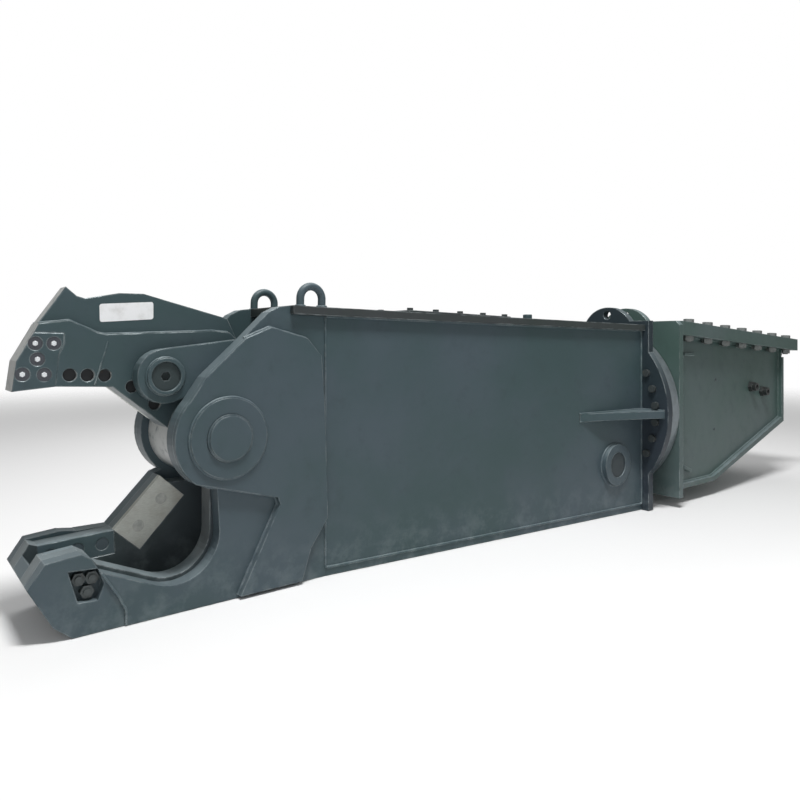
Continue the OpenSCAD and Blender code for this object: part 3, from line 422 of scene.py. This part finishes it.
# The cylinder lies inside the body. Its tube is painted dark, its gland is steel, and its rod is hard chromed.
# Its rear pin goes through bosses in the webs, and a fillet runs round each boss.
BOSS_X, BOSS_Z, BOSS_BEAD_R = 1930.0, -285.0, 101.0
dress(inner_paint, "cylinder_tube")
dress(plated("gland_steel", (0.30, 0.30, 0.29), 0.4), "cylinder_gland")
dress(ground("rod_chrome", (0.70, 0.71, 0.72), 0.14, (1.0, 1.0, 1.0)), "piston_rod")
dress(body_paint, "cylinder_bosses")
dress(inner_paint, "cylinder_pin")
for side, word in SIDES:
    boss_run = [at(x, side * half_at(x), z) for x, z in round_path(BOSS_X, BOSS_Z, BOSS_BEAD_R)]
    bead(word + "_boss_bead", "main", bead_paint_with_highlight, [boss_run])

# The end flange closes the box and carries the slewing ring, with a gusset on each side and a lug on top.
# The rings are machined and left bare, and the motor and the swivel stand inside.
GUSSET_FRONT, GUSSET_TIP, GUSSET_FACES = 1680.0, 466.0, (-26.0, -64.0)
FLANGE_TONE = (0.023, 0.031, 0.040)
dress(paint("flange_paint", FLANGE_TONE, dust_and_top_light=0.6, wear=0.9), "end_flange")
dress(body_paint, "flange_gussets")
ring_steel = ground("ring_steel", (0.27, 0.31, 0.33), 0.40, (1.0, 1.0, 1.0), 0.6)
dress(ring_steel, "slew_outer_ring", "slew_inner_ring", "slew_pinion", "swivel_barrel")
dress(pin_steel, "slew_balls", "swivel_spool")
dress(painted_bolt, "slew_ring_bolts")
dress(inner_paint, "slew_motor")
for side, word in SIDES:
    runs = [[at(GUSSET_FRONT, side * (half_at(GUSSET_FRONT) + 1), z), at(WEB_END, side * WEB_END_HALF, z)]
            for z in GUSSET_FACES]
    runs += [[at(WEB_END + 1, side * y, z) for y in (WEB_END_HALF + 1, GUSSET_TIP)] for z in GUSSET_FACES]
    bead(word + "_gusset_beads", "main", bead_paint_with_highlight, runs, r=FINE_BEAD)

# The head hangs from the ring: a front plate, two sides, a bent belly plate and a top flange.
# The excavator's adapter plate is bolted down along both long edges.
HEAD_TONE = (0.062, 0.090, 0.088)
head_paint = paint("head_paint", HEAD_TONE, dust_and_top_light=0.7, wear=0.65)
dress(head_paint, "head_front_plate", "head_sides", "head_belly", "head_top_plates")
dress(plated("adapter_bolt_steel", (0.18, 0.195, 0.19), 0.45, 0.3), "adapter_bolts")
dress(plated("port_steel", (0.05, 0.055, 0.055), 0.35, 0.6), "port_fittings")
# The head's beads, lug and tab are a lighter copy of the head paint, a painted highlight along their edges.
head_bead_with_highlight = paint("head_bead_with_highlight", shade(HEAD_TONE, 1.12), dust_and_top_light=0.5, wear=0.75)
HEAD_BEAD_Y, HEAD_FRONT, HEAD_BACK, HEAD_TOP, HEAD_SLOPE = 386.0, 2325.0, 3568.0, 344.0, 91 / 1375
BELLY_Z, BELLY_BEND, BELLY_REAR = -425.0, 2720.0, -160.0
for side, word in SIDES:
    belly_path = ((HEAD_FRONT + 2, BELLY_Z), (BELLY_BEND, BELLY_Z), (HEAD_BACK, BELLY_REAR))
    belly = [at(x, side * HEAD_BEAD_Y, z + 1) for x, z in belly_path]
    front = [at(HEAD_FRONT + 1, side * HEAD_BEAD_Y, z) for z in (BELLY_Z + 1, HEAD_TOP)]
    flange = [at(x, side * HEAD_BEAD_Y, HEAD_TOP - (x - HEAD_FRONT) * HEAD_SLOPE)
              for x in (HEAD_FRONT + 2, HEAD_BACK)]
    rear = [at(HEAD_BACK + 1, side * HEAD_BEAD_Y, z) for z in (BELLY_REAR + 2, 262)]
    bead(word + "_head_beads", "head", head_bead_with_highlight, [belly, front, flange, rear])

# The head's side has two tapped holes with dark plugs. A short bar near its top and a slanted lug low down are
# welded on. The deck has one round capped stub beside the cover.
HEAD_FACE, PLUG_HOLES = 385.0, ((2783, 99.5), (2767, -173.6))
BAR_HALF, BROKEN_EDGE = 0.009, 0.0025
STUB_X, STUB_Y, STUB_R, STUB_H = 1394.0, -235.0, 0.020, 0.022
hole_places = [(at(x, side * (HEAD_FACE + 0.5), z), side) for side in (-1, 1) for x, z in PLUG_HOLES]
studs("head_plugs", "head", inner_paint, hole_places, 0.010, 0.0012, 16)


def bar(name, body, finish, start, end, out):
    """A flat bar on the head's near side from start to end, with broken edges."""
    low, top = [at(x, 1 - HEAD_FACE, z) for x, z in (start, end)]
    run = (top - low).normalized()
    wide = Vector((-run.z, 0, run.x)) * BAR_HALF
    cut = bmesh.new()
    cut.faces.new([cut.verts.new(corner) for corner in (low - wide, top - wide, top + wide, low + wide)])
    raise_face(cut, -out)
    bmesh.ops.bevel(cut, geom=list(cut.edges), offset=BROKEN_EDGE, offset_type="OFFSET", segments=2, profile=0.5,
                    affect="EDGES", material=-1)
    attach(piece(name, cut, finish), body)


bar("head_lug", "head", head_bead_with_highlight, (2434, -345), (2505, -372), 0.014)
bar("head_tab", "head", head_bead_with_highlight, (2440, 243), (2536, 243), 0.012)
stub = bmesh.new()
bmesh.ops.create_cone(stub, cap_ends=True, segments=32, radius1=STUB_R, radius2=STUB_R, depth=STUB_H,
                      matrix=Matrix.Translation(at(STUB_X, STUB_Y, top_at(STUB_X) + 10)))
rims = [edge for edge in stub.edges if any(len(face.verts) > 4 for face in edge.link_faces)]
bmesh.ops.bevel(stub, geom=rims, offset=0.003, offset_type="OFFSET", segments=2, profile=0.5, affect="EDGES",
                material=-1)
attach(piece("deck_stub", stub, body_paint), "main")

# The machine stands on a pale studio floor that fades out into a white surround.
# Broad soft lamps light it from above and from both sides.
FLOOR_R, FLOOR_Z, FADE_START, FADE_END = 14.0, -0.0015, 4.0, 12.0
pale, shader, place, facing = new_finish("pale_floor")
shader.inputs["Base Color"].default_value = (0.86, 0.86, 0.86, 1)
shader.inputs["Roughness"].default_value = 0.9
away = place.node("ShaderNodeVectorMath", {"operation": "LENGTH"}, {0: place}, out=1)
clear = place.node("ShaderNodeBsdfTransparent")
solid = Link(pale.node_tree, shader.outputs[0])
faded = place.node("ShaderNodeMixShader", {}, {0: away.between(FADE_START, FADE_END), 1: solid, 2: clear})
pale.node_tree.links.new(faded.socket, pale.node_tree.nodes["Material Output"].inputs["Surface"])
slab = bmesh.new()
bmesh.ops.create_circle(slab, cap_ends=True, segments=96, radius=FLOOR_R)
bmesh.ops.translate(slab, vec=(0, 0, FLOOR_Z), verts=list(slab.verts))
piece("studio_floor", slab, pale)

world = bpy.data.worlds.new("studio")
bpy.context.scene.world = world
world.use_nodes = True
sky = world.node_tree.nodes["Background"]
seen = Link(world.node_tree).node("ShaderNodeLightPath", out=0)
strength = seen * 0.70 + 0.30
world.node_tree.links.new(strength.socket, sky.inputs["Strength"])
sky.inputs["Color"].default_value = (1, 1, 1, 1)


def lamp(name, place, aim, size, power):
    light = bpy.data.lights.new(name, "AREA")
    light.shape, light.energy = "RECTANGLE", power
    light.size, light.size_y = size
    made = bpy.data.objects.new(name, light)
    made.location = place
    made.rotation_euler = (Vector(aim) - Vector(place)).to_track_quat("-Z", "Y").to_euler()
    bpy.context.scene.collection.objects.link(made)


lamp("key_lamp", (-1.4, -1.8, 5.5), (0.2, 0, 0.4), (2.0, 0.6), 310)
lamp("fill_lamp", (-4.5, -4.0, 2.2), (-0.4, 0, 0.5), (3.0, 3.0), 33)
lamp("back_lamp", (1.5, 3.5, 4.0), (0, 0, 0.5), (4.0, 3.0), 90)

# The camera stands at the photograph's place, level, and looks along the near side from the jaw's end.
eye = bpy.data.cameras.new("camera")
eye.lens, eye.sensor_width, eye.shift_y = 30.20, 36.0, -0.072
eye.clip_start, eye.clip_end = 0.05, 200
camera = bpy.data.objects.new("camera", eye)
camera.location = (-2.4536, -2.2358, 0.8362)
camera.rotation_euler = Vector((0.6175, 0.7866, 0)).to_track_quat("-Z", "Y").to_euler()
bpy.context.scene.collection.objects.link(camera)
bpy.context.scene.camera = camera
bpy.context.scene.view_settings.view_transform = "Standard"
